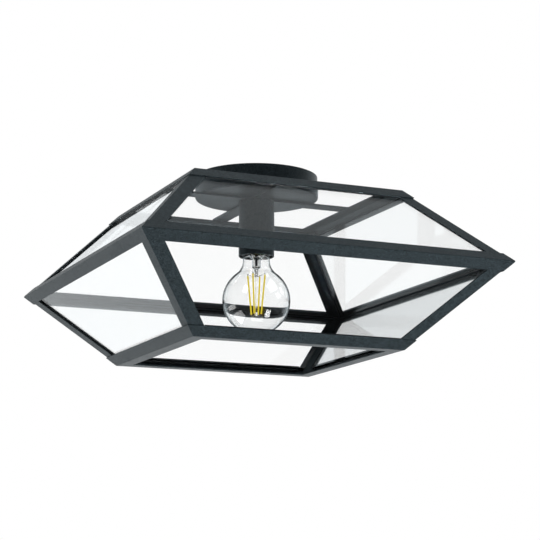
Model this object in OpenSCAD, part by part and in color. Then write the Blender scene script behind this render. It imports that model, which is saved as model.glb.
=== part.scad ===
// Porch ceiling lantern: a square, double-sloped cage of folded sheet metal with
// eight glass panes, hung from a round canopy, with one clear globe bulb.
// Millimetres. Z points up, the ceiling is the plane z = 0 and the axis is x = y = 0.

/* [Cage] */
// Width across the widest ring, between the lines where its outer faces meet
mid_w = 441; // [400:1:500]
// Width across the top ring and across the bottom ring
ring_w = 256; // [240:2:290]
// Height from the widest ring up to the top ring, and down to the bottom ring
rise = 93; // [80:1:120]

/* [Folded sheet] */
// Thickness of the sheet
sheet_t = 1.2; // [1:0.1:1.6]
// Inside radius of a bend
bend_r = 0.5; // [0.3:0.1:1]
// Width of a ring's sloping flange
ring_flange_w = 14.5; // [13:0.5:18]
// Width of the level lip on the top and bottom rings
lip_w = 15.5; // [12:0.5:18]
// Width of each flange of a rafter
rafter_flange_w = 15; // [13:0.5:18]
// Gap from a rafter's upper end to the ring's lip
rafter_head_gap = 1; // [0.8:0.1:2]
// Height of a rafter's lower end above the widest ring's edge
rafter_foot_gap = 3; // [2.4:0.1:5]

/* [Glass] */
// Thickness of a pane
pane_t = 4; // [3:0.5:4]
// How far a pane runs in under the flanges
pane_bite = 6; // [4:0.5:6]
// Thickness of the sealant between a rafter and a pane
seal_t = 0.8; // [0.4:0.1:1]
// How far the sealant stops short of a flange's free edge
seal_setback = 0.5; // [0.3:0.1:2]

/* [Cross straps] */
// Width of a strap
strap_w = 18; // [14:1:24]
// Thickness of a strap
strap_t = 2.5; // [2:0.5:4]
// Distance from a strap's end to the outer edge of the top ring
strap_end_gap = 10; // [8:0.5:11]

/* [Canopy] */
// Outer diameter of the canopy
canopy_d = 146; // [130:1:170]
// Height of the canopy
canopy_h = 28; // [27:1:45]
// Thickness of the canopy's wall and floor
canopy_t = 1; // [0.8:0.1:1.5]
// Inside radius between the canopy's wall and floor
canopy_edge_r = 1; // [0.5:0.5:3]
// Width of the rubber seal inside the canopy's rim
canopy_seal_w = 3; // [2:0.5:4]
// Height of the rubber seal
canopy_seal_h = 4; // [3:0.5:6]

/* [Ceiling bracket] */
// Width of the bracket's strip
bracket_w = 25; // [25:1:32]
// Thickness of the bracket
bracket_t = 2; // [1.5:0.5:3]
// Gap from the rubber seal to a bracket's tab
bracket_gap = 0.6; // [0.3:0.1:2]
// Distance between the centres of the two ceiling slots
slot_spacing = 80; // [76:1:88]
// Length of a ceiling slot, end to end
slot_l = 20; // [12:1:20]
// Width of a ceiling slot
slot_w = 5.5; // [4.5:0.5:6.5]
// Diameter of the hole for the supply cable
cable_hole_d = 20; // [14:1:20]
// Height of the canopy screws' axis above the canopy's outer floor
side_screw_z = 9; // [8:0.5:12]
// Metal of a bracket's tab below the canopy screw's hole
tab_margin = 2.5; // [2:0.5:3]

/* [Fasteners] */
// Diameter of the canopy screws and the earth screw
screw_d = 4; // [3:0.5:5]
// Clearance of a screw in its hole, on the diameter
screw_clear = 0.2; // [0.1:0.05:0.4]
// Diameter of a screw's head
head_d = 7; // [6:0.5:8]
// Height of a screw's head
head_h = 2.6; // [2:0.1:3]
// Length of a canopy screw under its head
side_screw_l = 10; // [9:1:14]
// Outer diameter of the threaded tube
nipple_d = 10; // [8:0.5:12]
// Bore of the threaded tube
nipple_bore = 7.4; // [6:0.1:7.6]
// Clearance of the tube in its holes, on the diameter
nipple_clear = 0.16; // [0.1:0.02:0.2]
// How far the tube stands above its nut
nipple_stand = 3; // [1:0.5:5]
// How far the tube screws into the lampholder
nipple_reach = 7; // [5:0.5:9]
// Width of the nut across its flats
nut_af = 14; // [14:0.5:17]
// Thickness of the nut
nut_h = 4; // [3:0.5:5]

/* [Wiring] */
// Width of the terminal block, away from the axis
block_w = 18; // [16:1:20]
// Length of the terminal block
block_l = 32; // [30:1:36]
// Height of the terminal block
block_h = 13; // [12:1:14]
// Distance from the axis to the terminal block
block_x = 26; // [24:1:30]
// Distance between neighbouring poles
pole_pitch = 9; // [9:0.5:10]
// Diameter of an insulated wire
wire_d = 2.4; // [2:0.1:2.6]
// Distance from the axis to the earth screw
earth_y = 20; // [18:0.5:21]

/* [Sleeve] */
// Outer diameter of the sleeve over the lampholder
sleeve_d = 42; // [42:1:50]
// Length of the sleeve
sleeve_l = 64; // [62:1:70]
// Thickness of the sleeve
sleeve_t = 1.2; // [0.8:0.1:1.2]

/* [Lampholder] */
// Outer diameter of the lampholder
holder_d = 37; // [36:0.5:37.5]
// Height of the lampholder's cap
holder_cap_h = 18; // [16:0.5:20]
// Thickness of the lampholder's walls
holder_t = 2.2; // [1.8:0.1:2.4]
// How far the lampholder's mouth stands back inside the sleeve
mouth_recess = 2; // [1.5:0.5:4]
// Diameter of the lampholder's mouth
mouth_d = 29.4; // [29.2:0.1:30]
// Height of the ring screwed round the lampholder's mouth
collar_h = 6; // [4:0.5:8]
// Gap from that ring to the sleeve
collar_gap = 0.2; // [0.1:0.05:0.4]
// Thickness of the contact base
base_h = 8; // [7:0.5:9]
// Wall of the threaded shell behind its thread
shell_t = 0.6; // [0.5:0.1:0.8]
// Thickness of a contact spring
contact_t = 0.5; // [0.4:0.1:0.8]

/* [Bulb] */
// Diameter of the globe
globe_d = 80; // [70:1:80]
// Length of the bulb, contact to globe
bulb_l = 121; // [120:0.5:124]
// Diameter of the glass neck
neck_d = 31.6; // [30:0.2:34]
// Radius of the blend from the globe to the neck
neck_blend_r = 20; // [16:1:21]
// Thickness of the bulb's glass
bulb_glass_t = 0.8; // [0.6:0.1:1.2]
// Height of the bulb's cap, contact to rim
cap_h = 26.5; // [26:0.1:27.5]
// Outside diameter of the cap's thread
thread_d = 26.3; // [26.1:0.05:26.45]
// Depth of the thread
thread_depth = 1.1; // [1:0.05:1.2]
// Rise of the thread in one turn
thread_pitch = 3.629; // [3.6:0.001:3.65]
// Radial clearance between the cap's thread and the shell's
thread_gap = 0.2; // [0.18:0.01:0.25]
// Diameter of the cap's plain skirt
skirt_d = 27; // [26.6:0.1:27.4]
// Gap from the cap's contact to the contact spring
contact_gap = 0.3; // [0.2:0.05:0.4]
// Diameter of a filament
filament_d = 1.9; // [1.6:0.1:2.4]
// Height from a filament's lower end to its upper end
filament_l = 46.8; // [40:0.2:48]
// Depth of the filaments' lower ends below the globe's middle
filament_drop = 16; // [12:0.5:20]
// Distance from the axis to a filament's upper end
filament_top_r = 11; // [9:0.5:12]
// Distance from the axis to a filament's lower end
filament_bottom_r = 6.2; // [5:0.2:8]

/* [Hidden] */
FRONT = 0;
RIGHT = 1;
BACK = 2;
LEFT = 3;
SIDES = [FRONT, RIGHT, BACK, LEFT];
ABOVE = 1;
BELOW = -1;
$fn = 96;

// Colours
PAINT = [0.20, 0.22, 0.24];
BLACK = [0.06, 0.06, 0.07];
STEEL = [0.74, 0.75, 0.76];
BRASS = [0.80, 0.66, 0.36];
CLEAR = [0.80, 0.88, 0.90, 0.30];
CERAMIC = [0.90, 0.88, 0.84];

// Small sizes that need no adjusting
cap_rim_drop = 0.3;
cap_nose_h = 5.2;
cap_skirt_h = 4;
cap_wall = 0.4;
contact_h = 1.3;
contact_d = 10;
contact_rise = 3;
shell_l = 20;
shell_top_gap = 1.5;
holder_boss_h = 8;
pole_d = 4;
rod_r = 1.3;
wire_entry_l = 6;
wire_clear = 0.3;
bend_steps = 6;
thread_steps = 6;
thread_sides = 36;
neck_taper_h = 3.5;
neck_in_cap = 3;

// Faces of the cage. A point of a face is given by its distance along the face's
// level edge, its distance s up the slope from the widest ring, and its depth.
run = (mid_w - ring_w) / 2;
slope = atan2(rise, run);
face_l = norm([run, rise]);
corner_run = run * sqrt(2);
corner_l = norm([corner_run, rise]);
corner_slope = atan2(rise, corner_run);
dihedral = 180 - acos(pow(cos(slope), 2));
corner_shift = 1 / tan(dihedral / 2);
level_share = sqrt(1 + pow(cos(slope), 2));
pane_depth = 2 * sheet_t + seal_t;
rafter_edge = sheet_t * corner_shift + rafter_flange_w;
pane_edge = ring_flange_w - pane_bite;
pane_side = rafter_edge - pane_bite;
big = mid_w * 2;

// Levels, from the ceiling down
z_strap_top = -canopy_h;
z_canopy_floor = -canopy_h + canopy_t;
z_side_screw = -canopy_h + side_screw_z;
z_nut_top = z_canopy_floor + nut_h;
z_nipple_top = z_nut_top + nipple_stand;
z_wire_in = z_canopy_floor + block_h / 2;
z_top = z_strap_top - strap_t;
z_mid = z_top - rise;
z_sleeve_inside = z_top - sleeve_t;
z_nipple_end = z_sleeve_inside - nipple_reach;
z_skirt_top = z_sleeve_inside - holder_cap_h;
z_sleeve_mouth = z_top - sleeve_l;
z_holder_mouth = z_sleeve_mouth + mouth_recess;
z_cap_rim = z_holder_mouth - cap_rim_drop;
z_flare = z_cap_rim + neck_in_cap - 1;
z_contact = z_cap_rim + cap_h;
z_thread_top = z_contact - cap_nose_h;
z_shell_top = z_contact - shell_top_gap;
z_base_bottom = z_contact + contact_gap + contact_rise;
z_base_top = z_base_bottom + base_h;
z_globe = z_contact - bulb_l + globe_d / 2;
z_filament_bottom = z_globe - filament_drop;
z_filament_top = z_filament_bottom + filament_l;

// Widths and radii that follow from the larger ones
hole_d = nipple_d + nipple_clear;
screw_hole_d = screw_d + screw_clear;
seal_inner_r = canopy_d / 2 - canopy_t - canopy_seal_w;
tab_r = sqrt(pow(seal_inner_r, 2) - pow(bracket_w / 2, 2)) - bracket_gap;
dome_r = (pow(head_d / 2, 2) + pow(head_h * 0.8, 2)) / (2 * head_h * 0.8);
strap_reach = ring_w / 2 - strap_end_gap;
holder_bore_r = holder_d / 2 - holder_t;
thread_r = thread_d / 2;
thread_root_r = thread_r - thread_depth;
shell_bore_r = thread_r + thread_gap;
shell_r = shell_bore_r + shell_t;
neck_r = neck_d / 2;
neck_end_r = skirt_d / 2 - cap_wall - 0.3;
blend_h = sqrt(pow(globe_d / 2 + neck_blend_r, 2) - pow(neck_r + neck_blend_r, 2));
z_neck = z_globe + blend_h;
filament_angles = [for (i = [0:3]) 45 + 90 * i];

// ---------------------------------------------------------------- helpers

function dir(a) = [cos(a), sin(a)];
// Half the level width of a face at the distance s up its slope
function half_width(s) = mid_w / 2 - s * cos(slope);
// Points of an arc about a centre
function arc(c, r, a0, a1, n) = [for (i = [0:n]) c + r * dir(a0 + (a1 - a0) * i / n)];

// A strip folded once, seen from its end. Its outer faces meet at the point p and
// run off at the angles a1 and a2, and the sheet lies between them.
module folded_strip(p, a1, l1, a2, l2) {
    half = (a2 - a1) / 2;
    outer_r = bend_r + sheet_t;
    centre = p + dir(a1 + half) * outer_r / sin(half);
    polygon(concat(
        [p + l1 * dir(a1)],
        arc(centre, outer_r, a1 - 90, a2 - 270, bend_steps),
        [p + l2 * dir(a2), p + l2 * dir(a2) + sheet_t * dir(a2 - 90)],
        arc(centre, bend_r, a2 - 270, a1 - 90, bend_steps),
        [p + l1 * dir(a1) + sheet_t * dir(a1 + 90)]
    ));
}

// Extrudes an end view (distance from the axis, height) along the front side
module along_side() {
    rotate([90, 0, -90]) linear_extrude(big, center = true) children();
}

// Turns something made for the front to another side
module on_side(side) {
    rotate([0, 0, 90 * side]) children();
}

// Keeps what lies between the two diagonals, so that rails meet at a mitre
module mitred() {
    intersection() {
        children();
        translate([0, 0, z_mid - big / 2]) linear_extrude(big)
            polygon([[0, 0], [-mid_w, -mid_w], [mid_w, -mid_w]]);
    }
}

// Places something made about the widest ring's plane, upright or upside down
module on_half(half) {
    translate([0, 0, z_mid]) mirror([0, 0, half == ABOVE ? 0 : 1]) children();
}

// Extrudes a flat outline (level distance, distance up the slope) on the front
// face, between two depths under the face
module on_face(depth, thickness) {
    translate([0, -mid_w / 2, 0]) rotate([slope, 0, 0])
        translate([0, 0, -depth - thickness]) linear_extrude(thickness) children();
}

// The part of a face between two distances up the slope, with its slanting sides
// at two distances in from the corner edges
module face_band(s0, s1, side_out, side_in) {
    out = side_out * level_share;
    in = side_in * level_share;
    polygon([
        [half_width(s0) - in, s0], [half_width(s0) - out, s0],
        [half_width(s1) - out, s1], [half_width(s1) - in, s1]
    ]);
}

// The whole width of a face between two distances up the slope
module face_strip(s0, s1, side) {
    in = side * level_share;
    polygon([
        [-half_width(s0) + in, s0], [half_width(s0) - in, s0],
        [half_width(s1) - in, s1], [-half_width(s1) + in, s1]
    ]);
}

module tube(r_out, r_in, h) {
    linear_extrude(h) difference() {
        circle(r = r_out);
        circle(r = r_in);
    }
}

// A screw with its head's underside at the origin and its shank pointing up
module raised_screw(l) {
    cylinder(d = screw_d, h = l);
    translate([0, 0, -head_h]) rotate_extrude() intersection() {
        translate([0, dome_r]) circle(r = dome_r);
        square([head_d / 2, head_h]);
    }
}

// ---------------------------------------------------------------- ceiling

module ceiling_bracket() {
    tab_l = -z_side_screw + screw_d / 2 + tab_margin;
    color(STEEL) difference() {
        union() {
            translate([-bracket_w / 2, -tab_r, -bracket_t]) cube([bracket_w, 2 * tab_r, bracket_t]);
            for (end = [-1, 1])
                translate([-bracket_w / 2, end * (tab_r - bracket_t / 2) - bracket_t / 2, -tab_l])
                    cube([bracket_w, bracket_t, tab_l]);
        }
        translate([0, 0, -2 * bracket_t]) cylinder(d = cable_hole_d, h = 3 * bracket_t);
        translate([0, earth_y, -2 * bracket_t]) cylinder(d = screw_hole_d, h = 3 * bracket_t);
        for (end = [-1, 1])
            translate([0, end * slot_spacing / 2, -2 * bracket_t]) linear_extrude(3 * bracket_t) {
                square([slot_w, slot_l - slot_w], center = true);
                for (tip = [-1, 1]) translate([0, tip * (slot_l - slot_w) / 2]) circle(d = slot_w);
            }
        translate([0, 0, z_side_screw]) rotate([90, 0, 0])
            cylinder(d = screw_hole_d, h = canopy_d, center = true);
    }
}

module canopy() {
    outer_r = canopy_edge_r + canopy_t;
    color(PAINT) difference() {
        rotate_extrude() translate([0, -canopy_h]) {
            square([canopy_d / 2 - outer_r, canopy_t]);
            translate([canopy_d / 2 - canopy_t, outer_r]) square([canopy_t, canopy_h - outer_r]);
            translate([canopy_d / 2 - outer_r, outer_r]) intersection() {
                difference() {
                    circle(r = outer_r);
                    circle(r = canopy_edge_r);
                }
                translate([0, -outer_r]) square(outer_r);
            }
        }
        translate([0, 0, -canopy_h - 1]) cylinder(d = hole_d, h = canopy_t + 2);
        translate([0, 0, z_side_screw]) rotate([90, 0, 0])
            cylinder(d = screw_hole_d, h = canopy_d + 2, center = true);
    }
}

module canopy_seal() {
    seal_r = canopy_d / 2 - canopy_t;
    color(BLACK) translate([0, 0, -canopy_seal_h])
        tube(seal_r, seal_r - canopy_seal_w, canopy_seal_h);
}

module canopy_screws() {
    color(PAINT) for (side = [FRONT, BACK])
        on_side(side) translate([0, -canopy_d / 2, z_side_screw]) rotate([-90, 0, 0])
            raised_screw(side_screw_l);
}

module earth_screw() {
    color(BRASS) translate([0, earth_y, -bracket_t]) raised_screw(bracket_t);
}

module terminal_block() {
    color(CERAMIC) difference() {
        translate([-block_x - block_w, -block_l / 2, z_canopy_floor]) cube([block_w, block_l, block_h]);
        for (pole = [-1:1]) translate([-block_x - block_w / 2, pole * pole_pitch, z_wire_in])
            cylinder(d = pole_d, h = block_h);
        for (pole = [-1:1]) translate([-block_x - wire_entry_l, pole * pole_pitch, z_wire_in])
            rotate([0, 90, 0]) cylinder(d = wire_d + wire_clear, h = 2 * wire_entry_l);
    }
}

module terminal_screws() {
    color(BRASS) for (pole = [-1:1])
        translate([-block_x - block_w / 2, pole * pole_pitch, z_wire_in]) difference() {
            cylinder(d = pole_d, h = block_h / 3);
            translate([-pole_d, -0.4, block_h / 3 - 1]) cube([2 * pole_d, 0.8, 2]);
        }
}

// ---------------------------------------------------------------- wires

// Position and direction along a cubic curve through four guide points
function bezier(p, t) = pow(1 - t, 3) * p[0] + 3 * pow(1 - t, 2) * t * p[1]
    + 3 * (1 - t) * t * t * p[2] + pow(t, 3) * p[3];
function unit(v) = v / norm(v);
function tangent_at(path, i) = unit(path[min(i + 1, len(path) - 1)] - path[max(i - 1, 0)]);

// A round tube along a path. across is level and square to the path's first step.
module wire(path, d, across) {
    sides = 10;
    n = len(path);
    rings = [for (i = [0:n - 1]) let (
        t = tangent_at(path, i),
        v = unit(cross(t, across)),
        u = cross(v, t)
    ) for (k = [0:sides - 1]) path[i] + d / 2 * (cos(360 * k / sides) * u + sin(360 * k / sides) * v)];
    walls = [for (i = [0:n - 2], k = [0:sides - 1]) let (
        a = i * sides + k,
        b = i * sides + (k + 1) % sides
    ) [a, b, b + sides, a + sides]];
    polyhedron(rings, concat([[for (k = [sides - 1:-1:0]) k]], walls,
        [[for (k = [0:sides - 1]) (n - 1) * sides + k]]), convexity = 6);
}

// A wire from a pole of the terminal block, over into the tube and down it
module lead_wire(pole_y, y) {
    x0 = -block_x;
    z_over = z_nipple_top + 4 * wire_d;
    guide = [[x0, pole_y, z_wire_in], [x0 / 2, pole_y, z_wire_in], [0, y, z_over], [0, y, z_nipple_top]];
    steps = 14;
    start = [x0 - wire_entry_l + 1, pole_y, z_wire_in];
    path = concat([start], [for (i = [0:steps]) bezier(guide, i / steps)], [[0, y, z_base_top]]);
    wire(path, wire_d, [0, 1, 0]);
}

module live_wire() {
    color("saddlebrown") lead_wire(-pole_pitch, -wire_d * 0.55);
}

module neutral_wire() {
    color("royalblue") lead_wire(0, wire_d * 0.55);
}

module earth_wire() {
    x0 = -block_x;
    y1 = pole_pitch;
    end = [-head_d / 2, earth_y, -bracket_t - head_h / 2];
    guide = [[x0, y1, z_wire_in], [x0 / 2, y1, z_wire_in], [end[0] - block_x / 2, end[1], end[2]], end];
    steps = 12;
    start = [x0 - wire_entry_l + 1, y1, z_wire_in];
    path = concat([start], [for (i = [0:steps]) bezier(guide, i / steps)]);
    color("yellowgreen") wire(path, wire_d, [0, 1, 0]);
}

module threaded_nipple() {
    color(BRASS) translate([0, 0, z_nipple_end])
        tube(nipple_d / 2, nipple_bore / 2, z_nipple_top - z_nipple_end);
}

module nipple_nut() {
    color(BRASS) translate([0, 0, z_canopy_floor]) difference() {
        cylinder(d = nut_af / cos(30), h = nut_h, $fn = 6);
        translate([0, 0, -1]) cylinder(d = hole_d, h = nut_h + 2);
    }
}

// ---------------------------------------------------------------- straps and sleeve

module long_strap() {
    color(PAINT) difference() {
        translate([-strap_w / 2, -strap_reach, z_top]) cube([strap_w, 2 * strap_reach, strap_t]);
        translate([0, 0, z_top - 1]) cylinder(d = hole_d, h = strap_t + 2);
    }
}

module half_strap(side) {
    color(PAINT) on_side(side) translate([-strap_w / 2, -strap_reach, z_top])
        cube([strap_w, strap_reach - strap_w / 2, strap_t]);
}

module sleeve() {
    mouth_bevel = sleeve_t / 2;
    color(PAINT) difference() {
        translate([0, 0, z_sleeve_mouth]) rotate_extrude() polygon([
            [0, sleeve_l], [0, sleeve_l - sleeve_t], [sleeve_d / 2 - sleeve_t, sleeve_l - sleeve_t],
            [sleeve_d / 2 - sleeve_t, 0], [sleeve_d / 2 - mouth_bevel, 0],
            [sleeve_d / 2, mouth_bevel], [sleeve_d / 2, sleeve_l]
        ]);
        translate([0, 0, z_top - 2 * sleeve_t]) cylinder(d = hole_d, h = 3 * sleeve_t);
    }
}

// ---------------------------------------------------------------- lampholder

module lampholder_cap() {
    shoulder = 5;
    color(BLACK) difference() {
        translate([0, 0, z_skirt_top]) rotate_extrude() polygon([
            [0, holder_cap_h], [holder_d / 2 - shoulder, holder_cap_h],
            [holder_d / 2, holder_cap_h - shoulder], [holder_d / 2, 0], [holder_bore_r, 0],
            [holder_bore_r, holder_cap_h - holder_boss_h], [0, holder_cap_h - holder_boss_h]
        ]);
        translate([0, 0, z_skirt_top]) cylinder(d = hole_d, h = holder_cap_h + 1);
    }
}

module lampholder_skirt() {
    skirt_l = z_skirt_top - z_holder_mouth;
    mouth_h = 3;
    base_z = z_base_bottom - z_holder_mouth;
    color(BLACK) translate([0, 0, z_holder_mouth]) rotate_extrude() polygon([
        [mouth_d / 2, 0], [holder_d / 2, 0], [holder_d / 2, skirt_l], [holder_bore_r, skirt_l],
        [holder_bore_r, base_z], [shell_r, base_z], [shell_r, mouth_h], [mouth_d / 2, mouth_h]
    ]);
}

module lampholder_collar() {
    outer_r = sleeve_d / 2 - sleeve_t - collar_gap;
    color(BLACK) translate([0, 0, z_holder_mouth]) tube(outer_r, holder_d / 2, collar_h);
}

module contact_base() {
    color(CERAMIC) translate([0, 0, z_base_bottom]) cylinder(r = holder_bore_r, h = base_h);
}

// A thin shell with a round thread on one side and a plain wall on the other.
// radii gives the threaded side's smallest and largest radius at each level, and
// wall the radius and the level of each ring of the plain side, from below.
module threaded_tube(levels, radii, wall, outside) {
    n = len(levels);
    m = thread_sides;
    threaded = [for (i = [0:n - 1], k = [0:m - 1]) let (
        a = 360 * k / m,
        wave = (1 + cos(360 * levels[i] / thread_pitch - a)) / 2,
        r = radii[i][0] + (radii[i][1] - radii[i][0]) * wave
    ) [r * cos(a), r * sin(a), levels[i]]];
    plain = [for (ring = wall, k = [0:m - 1]) let (a = 360 * k / m)
        [ring[0] * cos(a), ring[0] * sin(a), ring[1]]];
    last = (n - 1) * m;
    back = n * m;
    back_last = back + (len(wall) - 1) * m;
    front_faces = [for (i = [0:n - 2], k = [0:m - 1]) let (a = i * m + k, b = i * m + (k + 1) % m)
        each [[a, b + m, b], [a, a + m, b + m]]];
    back_faces = [for (i = [0:len(wall) - 2], k = [0:m - 1])
        let (a = back + i * m + k, b = back + i * m + (k + 1) % m) [a, b, b + m, a + m]];
    low_faces = [for (k = [0:m - 1]) let (j = (k + 1) % m) [k, j, back + j, back + k]];
    high_faces = [for (k = [0:m - 1]) let (j = (k + 1) % m)
        [last + j, last + k, back_last + k, back_last + j]];
    faces = concat(front_faces, back_faces, low_faces, high_faces);
    turned = [for (f = faces) [for (i = [len(f) - 1:-1:0]) f[i]]];
    polyhedron(concat(threaded, plain), outside ? faces : turned, convexity = 8);
}

// Evenly spaced levels from z0 up to z1, a sixth of a pitch or less apart
function thread_levels(z0, z1) = let (n = ceil((z1 - z0) * thread_steps / thread_pitch))
    [for (i = [0:n]) z0 + (z1 - z0) * i / n];
// Share of the full thread depth at a level, none at the ends
function thread_share(z, z0, z1) = min(1, max(0, min(z - z0, z1 - z) / (thread_pitch / 2)));

module screw_shell() {
    levels = thread_levels(z_shell_top - shell_l, z_shell_top);
    radii = [for (z = levels) [
        shell_bore_r - thread_depth * thread_share(z, levels[0], z_shell_top), shell_bore_r
    ]];
    wall = [[shell_r, levels[0]], [shell_r, z_shell_top]];
    color(BRASS) threaded_tube(levels, radii, wall, false);
}

module live_contact() {
    arm_l = 12;
    arm_w = 5;
    z0 = z_contact + contact_gap;
    color(BRASS) {
        translate([-arm_w / 2, -arm_w / 2, z0]) cube([arm_l + arm_w / 2, arm_w, contact_t]);
        translate([arm_l - contact_t, -arm_w / 2, z0 + contact_t])
            cube([contact_t, arm_w, contact_rise - contact_t]);
    }
}

module neutral_contact() {
    arm_w = 5;
    arm_h = z_base_bottom - z_shell_top;
    color(BRASS) translate([0, 0, z_shell_top]) intersection() {
        tube(shell_r, shell_r - contact_t, arm_h);
        translate([-2 * shell_r, -arm_w / 2, 0]) cube([2 * shell_r, arm_w, arm_h]);
    }
}

// ---------------------------------------------------------------- cage

module mid_rail(side) {
    color(PAINT) on_side(side) mitred() translate([0, 0, z_mid]) along_side()
        folded_strip([mid_w / 2, 0], 180 - slope, ring_flange_w, 180 + slope, ring_flange_w);
}

module end_rail(half, side) {
    color(PAINT) on_side(side) mitred() on_half(half) along_side()
        folded_strip([ring_w / 2, rise], 180, lip_w, 360 - slope, ring_flange_w);
}

module rafter(half, corner) {
    top = rise - sheet_t - rafter_head_gap;
    color(PAINT) on_half(half) rotate([0, 0, 90 * corner - 45]) intersection() {
        translate([mid_w / sqrt(2), 0, 0]) rotate([0, corner_slope - 90, 0]) rotate([0, 0, -90])
            translate([0, 0, -corner_l / 2]) linear_extrude(2 * corner_l)
                folded_strip([0, -sheet_t / sin(dihedral / 2)],
                    270 - dihedral / 2, rafter_flange_w, 270 + dihedral / 2, rafter_flange_w);
        translate([0, -mid_w / 2, rafter_foot_gap]) cube([mid_w, mid_w, top - rafter_foot_gap]);
    }
}

module pane(half, side) {
    color(CLEAR) on_side(side) on_half(half) on_face(pane_depth, pane_t)
        face_strip(pane_edge, face_l - pane_edge, pane_side);
}

// The sealant behind the four flanges round one pane
module pane_seal(half, side) {
    seal_w = pane_bite - seal_setback;
    on_side(side) on_half(half) {
        for (s = [pane_edge, face_l - pane_edge - seal_w])
            on_face(sheet_t, sheet_t + seal_t) face_strip(s, s + seal_w, rafter_edge + seal_setback);
        for (m = [0, 1]) mirror([m, 0, 0])
            on_face(2 * sheet_t, seal_t)
                face_band(pane_edge, face_l - pane_edge, pane_side, rafter_edge - seal_setback);
    }
}

module glazing_seals() {
    color(BLACK) for (half = [ABOVE, BELOW], side = SIDES) pane_seal(half, side);
}

// ---------------------------------------------------------------- bulb

// Half of the bulb's outline, drawn in by the amount inset
module bulb_outline(inset) {
    z_taper = z_cap_rim - neck_taper_h;
    intersection() {
        union() {
            translate([0, z_globe]) circle(r = globe_d / 2 - inset);
            difference() {
                polygon([[0, z_globe], [neck_r + neck_blend_r, z_neck], [0, z_neck]]);
                translate([neck_r + neck_blend_r, z_neck]) circle(r = neck_blend_r + inset);
            }
            translate([0, z_neck]) square([neck_r - inset, z_taper - z_neck]);
            polygon([
                [0, z_taper], [neck_r - inset, z_taper], [neck_end_r - inset, z_cap_rim],
                [neck_end_r - inset, z_cap_rim + neck_in_cap], [0, z_cap_rim + neck_in_cap]
            ]);
        }
        translate([0, z_globe - globe_d]) square([globe_d, 3 * globe_d]);
    }
}

module bulb_envelope() {
    color(CLEAR) rotate_extrude() difference() {
        bulb_outline(0);
        bulb_outline(bulb_glass_t);
        translate([0, z_flare]) square([neck_end_r - bulb_glass_t, 2]);
    }
}

module bulb_cap() {
    z_skirt = z_cap_rim + neck_in_cap;
    z_thread = z_cap_rim + cap_skirt_h;
    levels = concat([z_cap_rim, z_skirt], thread_levels(z_thread, z_thread_top));
    radii = [for (z = levels) z <= z_skirt ? [skirt_d / 2, skirt_d / 2]
        : [thread_root_r, thread_root_r + thread_depth * thread_share(z, z_thread, z_thread_top)]];
    bore = skirt_d / 2 - cap_wall;
    throat = thread_root_r - cap_wall;
    wall = [[bore, z_cap_rim], [bore, z_skirt], [throat, z_thread], [throat, z_thread_top]];
    color(STEEL) threaded_tube(levels, radii, wall, true);
}

module cap_insulator() {
    color(BLACK) translate([0, 0, z_thread_top])
        cylinder(r1 = thread_root_r, r2 = contact_d / 2, h = cap_nose_h - contact_h);
}

module centre_contact() {
    color(STEEL) translate([0, 0, z_contact - contact_h]) cylinder(d = contact_d, h = contact_h);
}

module led_driver() {
    board_gap = 0.4;
    board_w = 2 * (thread_root_r - cap_wall - board_gap);
    board_t = 1.2;
    board_l = 14;
    part_w = 8;
    part_h = 4;
    color("seagreen") translate([0, 0, z_flare]) {
        translate([-board_w / 2, -board_t / 2, 0]) cube([board_w, board_t, board_l]);
        translate([-part_w / 2, board_t / 2, part_h]) cube([part_w, part_h, part_w]);
    }
}

// The glass stem: a flare that closes the neck, a tube that narrows to a rod
// between the filaments, and a bead at the rod's end
module bulb_stem() {
    stem_r = 5.2;
    flare_r = neck_end_r - bulb_glass_t;
    flare_rim = 1;
    flare_h = 6;
    taper_h = 4;
    foot_r = rod_r + 1;
    foot_h = 3;
    bead_r = rod_r + 0.6;
    bead_h = 2;
    color(CLEAR) rotate_extrude() polygon([
        [0, z_flare], [flare_r, z_flare], [flare_r, z_flare - flare_rim],
        [stem_r, z_flare - flare_h], [stem_r, z_filament_top + taper_h],
        [foot_r, z_filament_top], [rod_r, z_filament_top - foot_h],
        [rod_r, z_filament_bottom + bead_h], [bead_r, z_filament_bottom],
        [rod_r, z_filament_bottom - bead_h * 0.75], [0, z_filament_bottom - bead_h]
    ]);
}

// A straight round bar between two points
module bar(a, b, d) {
    v = b - a;
    translate(a) rotate([0, acos(v[2] / norm(v)), atan2(v[1], v[0])])
        cylinder(d = d, h = norm(v), $fn = 24);
}

module filaments() {
    color("gold") for (a = filament_angles)
        bar([each filament_bottom_r * dir(a), z_filament_bottom],
            [each filament_top_r * dir(a), z_filament_top], filament_d);
}

module filament_supports() {
    support_d = 0.6;
    foot_r = rod_r + 1;
    clear = support_d * 1.1;
    color(STEEL) for (a = filament_angles) {
        bar([each foot_r * dir(a), z_filament_top - 1],
            [each filament_top_r * dir(a), z_filament_top + clear], support_d);
        bar([each foot_r * dir(a), z_filament_bottom - 1],
            [each filament_bottom_r * dir(a), z_filament_bottom - clear], support_d);
    }
}

// ---------------------------------------------------------------- nodes

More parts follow.
